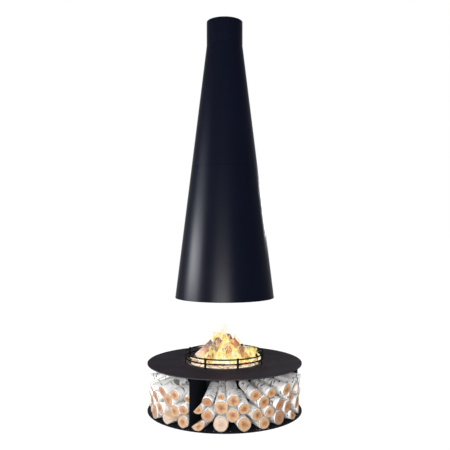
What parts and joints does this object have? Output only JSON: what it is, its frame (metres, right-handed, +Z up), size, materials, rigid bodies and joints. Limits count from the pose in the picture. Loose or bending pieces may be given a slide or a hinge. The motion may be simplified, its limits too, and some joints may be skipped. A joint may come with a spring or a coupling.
{
  "type": "hanging fireplace",
  "caption": "Ceiling-hung steel cone hood over a round floor-standing hearth with a fire bowl, a low guard ring and a log store beneath the plate.",
  "frame": {"origin": "on the floor, on the common vertical axis of the hearth and the hood", "axes": "+Z up along the axis of hearth, hood and flue, -Y towards the front of the picture"},
  "size_m": [1.4998, 1.4998, 3.774],
  "materials": {
    "hood_paint": "satin",
    "store_paint": "satin",
    "hearth_steel": "matt",
    "fire_steel": "matt",
    "guard_paint": "satin",
    "embers": "matt",
    "burning_wood": "matt",
    "birch": "matt",
    "bare_steel": "brushed",
    "zinc_fasteners": "satin",
    "bronze": "satin"
  },
  "bodies": {
    "root": {"base_plate": "store_paint", "partition_left": "store_paint", "partition_right": "store_paint", "partition_rear": "store_paint", "centre_drum": "store_paint", "hearth_plate": "hearth_steel", "base_screws": "zinc_fasteners", "plate_screws": "zinc_fasteners", "hood_lower_cone": "hood_paint", "hood_rim_bar": "hood_paint", "hood_upper_cone": "hood_paint", "seam_bolts": "zinc_fasteners", "seam_nuts": "zinc_fasteners", "collar": "hood_paint", "ceiling_plate": "store_paint", "hanger_rods": "zinc_fasteners", "hanger_nuts": "zinc_fasteners", "flue_socket": "bare_steel", "damper_housing": "bare_steel", "housing_screws": "zinc_fasteners", "spindle_bushes": "bronze", "front_logs_1": "birch", "front_logs_2": "birch", "front_logs_3": "birch", "front_logs_4": "birch", "front_logs_5": "birch", "left_logs_1": "birch", "left_logs_2": "birch", "left_logs_3": "birch", "left_logs_4": "birch", "left_logs_5": "birch", "rear_logs_1": "birch", "rear_logs_2": "birch", "rear_logs_3": "birch", "rear_logs_4": "birch", "rear_logs_5": "birch"},
    "guard_ring": {"guard_upper_rail": "guard_paint", "guard_lower_rail": "guard_paint", "guard_posts": "guard_paint"},
    "bowl": {"fire_bowl": "fire_steel", "bowl_floor": "fire_steel"},
    "grate_and_fire": {"fire_grate": "fire_steel", "grate_legs": "fire_steel", "ember_bed": "embers", "fire_logs": "burning_wood", "kindling": "burning_wood"},
    "damper": {"damper_spindle": "bare_steel", "damper_plate": "bare_steel", "damper_crank": "bare_steel", "crank_clip": "zinc_fasteners"},
    "pull_rod": {"pull_rod": "bare_steel"}
  },
  "joints": [
    {"name": "guard_lift", "type": "slide", "parent": "root", "child": "guard_ring", "axis": [0, 0, 1], "range_m": [0, 0.3]},
    {"name": "bowl_lift", "type": "slide", "parent": "root", "child": "bowl", "axis": [0, 0, 1], "range_m": [0, 0.15]},
    {"name": "grate_lift", "type": "slide", "parent": "bowl", "child": "grate_and_fire", "axis": [0, 0, 1], "range_m": [0, 0.13]},
    {"name": "damper_turn", "type": "hinge", "parent": "root", "child": "damper", "pos_m": [0, 0, 3.42], "axis": [1, 0, 0], "range_deg": [0, 90]},
    {"name": "rod_hang", "type": "hinge", "parent": "damper", "child": "pull_rod", "pos_m": [0.151, 0.03535, 3.38464], "axis": [1, 0, 0], "range_deg": [-90, 0]}
  ],
  "couplings": [
    {"joint": "rod_hang", "follows": "damper_turn", "ratio": -1}
  ]
}
